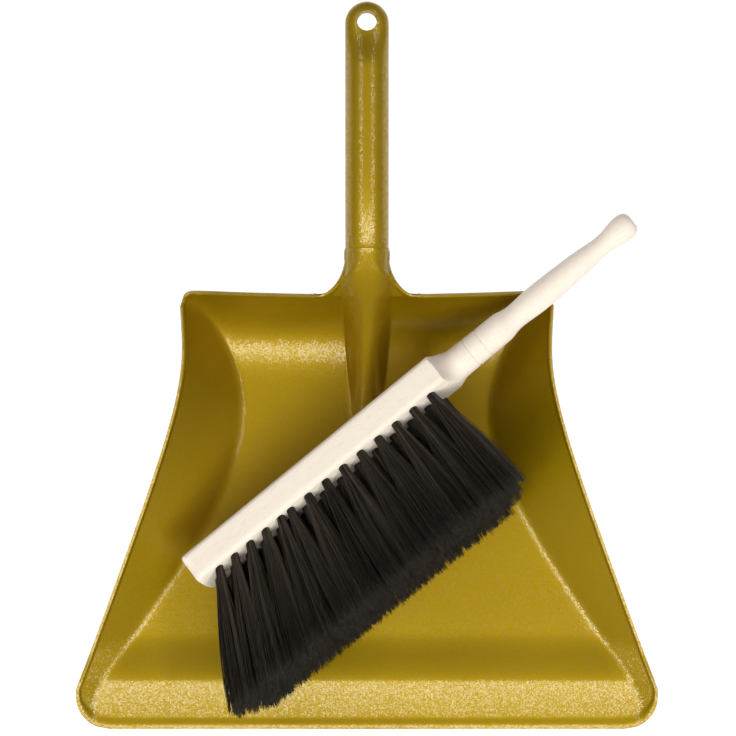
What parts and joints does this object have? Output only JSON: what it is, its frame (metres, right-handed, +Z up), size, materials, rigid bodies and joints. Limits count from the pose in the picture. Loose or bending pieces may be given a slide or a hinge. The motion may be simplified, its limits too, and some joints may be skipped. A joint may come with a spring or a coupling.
{
  "type": "dust pan and brush set",
  "caption": "Pressed-steel dust pan with a raised rear wall and a tubular handle with a hanging hole, and a wooden hand brush with dark bristles lying on its side across the pan.",
  "frame": {"origin": "on the ground under the middle of the whole set's bounding box", "axes": "+Y along the pan's handle, away from the scraping lip; +X to the right of someone who looks from the lip to the handle; +Z up"},
  "size_m": [0.2908, 0.3555, 0.0801],
  "materials": {
    "lacquered_steel": "gold metallic lacquer with a fine flake, satin gloss",
    "beech": "pale beech, sanded, unvarnished",
    "bristle": "dark brown-grey natural hair, trimmed ends"
  },
  "bodies": {
    "pan": {"pan_shell": "lacquered_steel", "handle_tube": "lacquered_steel"},
    "brush": {"brush_stock": "beech", "tuft_r1_01": "bristle", "tuft_r1_02": "bristle", "tuft_r1_03": "bristle", "tuft_r1_04": "bristle", "tuft_r1_05": "bristle", "tuft_r1_06": "bristle", "tuft_r1_07": "bristle", "tuft_r1_08": "bristle", "tuft_r1_09": "bristle", "tuft_r1_10": "bristle", "tuft_r1_11": "bristle", "tuft_r1_12": "bristle", "tuft_r1_13": "bristle", "tuft_r1_14": "bristle", "tuft_r2_01": "bristle", "tuft_r2_02": "bristle", "tuft_r2_03": "bristle", "tuft_r2_04": "bristle", "tuft_r2_05": "bristle", "tuft_r2_06": "bristle", "tuft_r2_07": "bristle", "tuft_r2_08": "bristle", "tuft_r2_09": "bristle", "tuft_r2_10": "bristle", "tuft_r2_11": "bristle", "tuft_r2_12": "bristle", "tuft_r2_13": "bristle", "tuft_r2_14": "bristle", "tuft_r3_01": "bristle", "tuft_r3_02": "bristle", "tuft_r3_03": "bristle", "tuft_r3_04": "bristle", "tuft_r3_05": "bristle", "tuft_r3_06": "bristle", "tuft_r3_07": "bristle", "tuft_r3_08": "bristle", "tuft_r3_09": "bristle", "tuft_r3_10": "bristle", "tuft_r3_11": "bristle", "tuft_r3_12": "bristle", "tuft_r3_13": "bristle", "tuft_r3_14": "bristle", "tuft_r4_01": "bristle", "tuft_r4_02": "bristle", "tuft_r4_03": "bristle", "tuft_r4_04": "bristle", "tuft_r4_05": "bristle", "tuft_r4_06": "bristle", "tuft_r4_07": "bristle", "tuft_r4_08": "bristle", "tuft_r4_09": "bristle", "tuft_r4_10": "bristle", "tuft_r4_11": "bristle", "tuft_r4_12": "bristle", "tuft_r4_13": "bristle", "tuft_r4_14": "bristle"}
  },
  "joints": [
    {"name": "brush_lift", "type": "slide", "parent": "pan", "child": "brush", "axis": [0, 0, 1], "range_m": [0, 0.12]}
  ]
}
